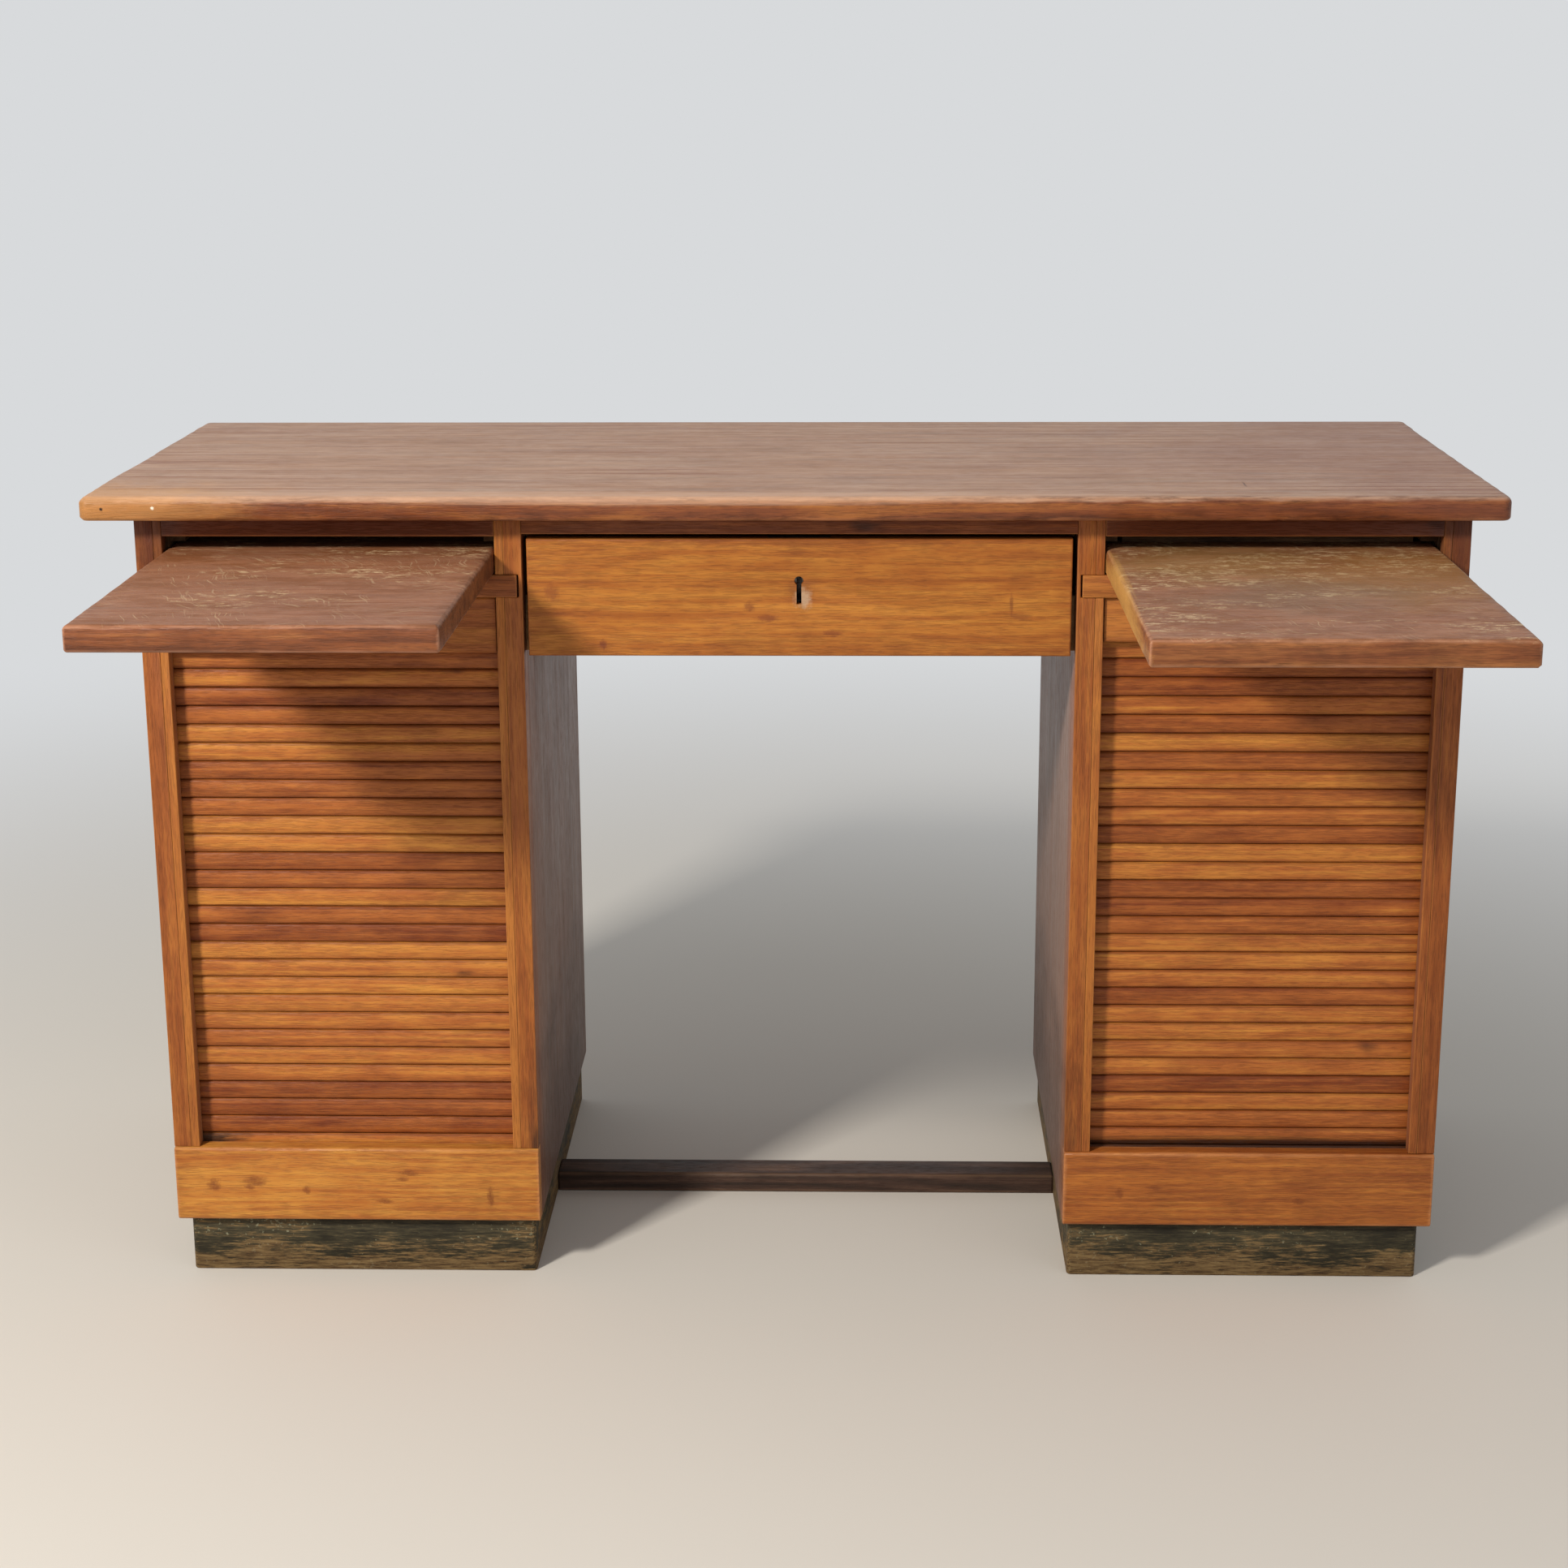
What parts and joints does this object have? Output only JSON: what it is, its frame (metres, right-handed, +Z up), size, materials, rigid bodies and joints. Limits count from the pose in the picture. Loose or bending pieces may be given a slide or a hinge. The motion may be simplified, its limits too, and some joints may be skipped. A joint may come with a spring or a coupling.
{
  "type": "tambour desk",
  "caption": "Double-pedestal writing desk with roll-down slatted curtains, a pull-out slide over each pedestal, a locking centre drawer and a foot rail.",
  "frame": {"origin": "on the floor, midway between the pedestals and in the middle of the depth with the slides drawn out as at rest; the top lies 7 mm left of the pedestals, so the middle of the box is 7 mm left of the origin", "axes": "+X along the front to the right, +Y from the front to the back, +Z up"},
  "size_m": [1.3, 0.875, 0.78],
  "materials": {
    "top_wood": "worn, waxed, faded",
    "carcase_wood": "satin varnish, worn",
    "base_wood": "satin varnish, worn",
    "drawer_wood": "satin varnish",
    "slat_wood": "satin varnish",
    "slide_wood": "worn, faded",
    "inner_wood": "unfinished, aged",
    "foot_rail_wood": "dark stain, worn",
    "plinth_paint": "black paint, scuffed through to the wood",
    "canvas_cloth": "plain woven linen",
    "lock_iron": "dull, lightly oxidised",
    "screw_steel": "dull"
  },
  "bodies": {
    "desk": {"back_apron": "carcase_wood", "desk_top": "top_wood", "drawer_kickers": "inner_wood", "drawer_rail": "carcase_wood", "foot_rail": "foot_rail_wood", "left_back_panel": "inner_wood", "left_base_board": "base_wood", "left_bearer": "inner_wood", "left_bottom_board": "inner_wood", "left_canvas": "canvas_cloth", "left_drawer_runner": "inner_wood", "left_false_back": "inner_wood", "left_floor": "inner_wood", "left_guide_strips": "carcase_wood", "left_inner_liner": "inner_wood", "left_inner_panel": "carcase_wood", "left_kickers": "inner_wood", "left_outer_liner": "inner_wood", "left_outer_panel": "carcase_wood", "left_plinth": "plinth_paint", "left_shelf": "inner_wood", "left_slats": "slat_wood", "left_slide_rail": "carcase_wood", "left_top_rail": "carcase_wood", "left_turn_blocks": "inner_wood", "right_back_panel": "inner_wood", "right_base_board": "base_wood", "right_bearer": "inner_wood", "right_bottom_board": "inner_wood", "right_canvas": "canvas_cloth", "right_drawer_runner": "inner_wood", "right_false_back": "inner_wood", "right_floor": "inner_wood", "right_guide_strips": "carcase_wood", "right_inner_liner": "inner_wood", "right_inner_panel": "carcase_wood", "right_kickers": "inner_wood", "right_outer_liner": "inner_wood", "right_outer_panel": "carcase_wood", "right_plinth": "plinth_paint", "right_shelf": "inner_wood", "right_slats": "slat_wood", "right_slide_rail": "carcase_wood", "right_top_rail": "carcase_wood", "right_turn_blocks": "inner_wood", "top_screws": "screw_steel"},
    "left_slide": {"left_slide": "slide_wood", "left_slide_stop": "inner_wood"},
    "right_slide": {"right_slide": "slide_wood", "right_slide_stop": "inner_wood"},
    "drawer": {"drawer_front": "drawer_wood", "drawer_left_side": "inner_wood", "drawer_right_side": "inner_wood", "drawer_back": "inner_wood", "drawer_bottom": "inner_wood", "lock_case": "lock_iron"},
    "lock_bolt": {"lock_bolt": "lock_iron"},
    "left_curtain": {"left_lead_bar": "carcase_wood"},
    "right_curtain": {"right_lead_bar": "carcase_wood"}
  },
  "joints": [
    {"name": "left_slide_travel", "type": "slide", "parent": "desk", "child": "left_slide", "axis": [0, -1, 0], "range_m": [-0.34, 0.06]},
    {"name": "right_slide_travel", "type": "slide", "parent": "desk", "child": "right_slide", "axis": [0, -1, 0], "range_m": [-0.39, 0.01]},
    {"name": "drawer_travel", "type": "slide", "parent": "desk", "child": "drawer", "axis": [0, -1, 0], "range_m": [0, 0.32]},
    {"name": "lock_throw", "type": "slide", "parent": "drawer", "child": "lock_bolt", "axis": [0, 0, 1], "range_m": [0, 0.009]},
    {"name": "left_curtain_drop", "type": "slide", "parent": "desk", "child": "left_curtain", "axis": [0, 0, -1], "range_m": [0, 0.493], "deforming": ["left_slats", "left_canvas"]},
    {"name": "right_curtain_drop", "type": "slide", "parent": "desk", "child": "right_curtain", "axis": [0, 0, -1], "range_m": [0, 0.504], "deforming": ["right_slats", "right_canvas"]}
  ]
}
